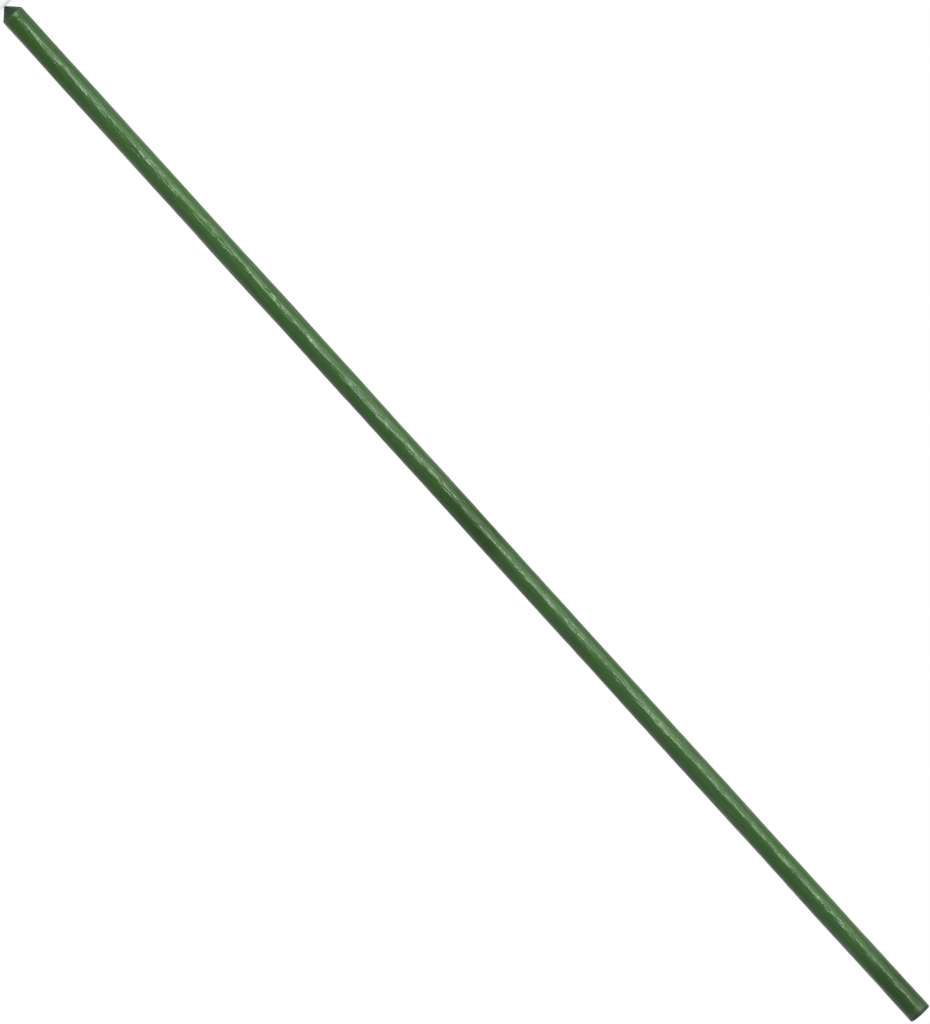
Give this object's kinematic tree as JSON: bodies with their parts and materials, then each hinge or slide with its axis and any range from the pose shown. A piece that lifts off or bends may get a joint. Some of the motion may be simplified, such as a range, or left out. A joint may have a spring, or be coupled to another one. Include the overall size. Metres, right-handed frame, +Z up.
{
  "type": "plant stake",
  "caption": "Straight round garden stake: a thin steel tube in a glossy green plastic sheath, with a moulded conical point to push into soil and a flat moulded cap on top.",
  "frame": {"origin": "apex of the point, the lowest point of the upright stake", "axes": "+Z up along the tube's axis, from the point to the cap; X and Y are any two directions across the round stake, +X towards the weld seam inside the tube"},
  "size_m": [0.0162, 0.0162, 0.9],
  "materials": {
    "point": "matte moulded dark grey-green",
    "steel": "bare drawn steel",
    "sheath": "glossy mid green with an uneven drawn surface",
    "cap": "matte moulded dark grey-green"
  },
  "bodies": {
    "root": {"point_tip": "point", "steel_tube": "steel", "plastic_sheath": "sheath", "top_cap": "cap"}
  },
  "joints": []
}
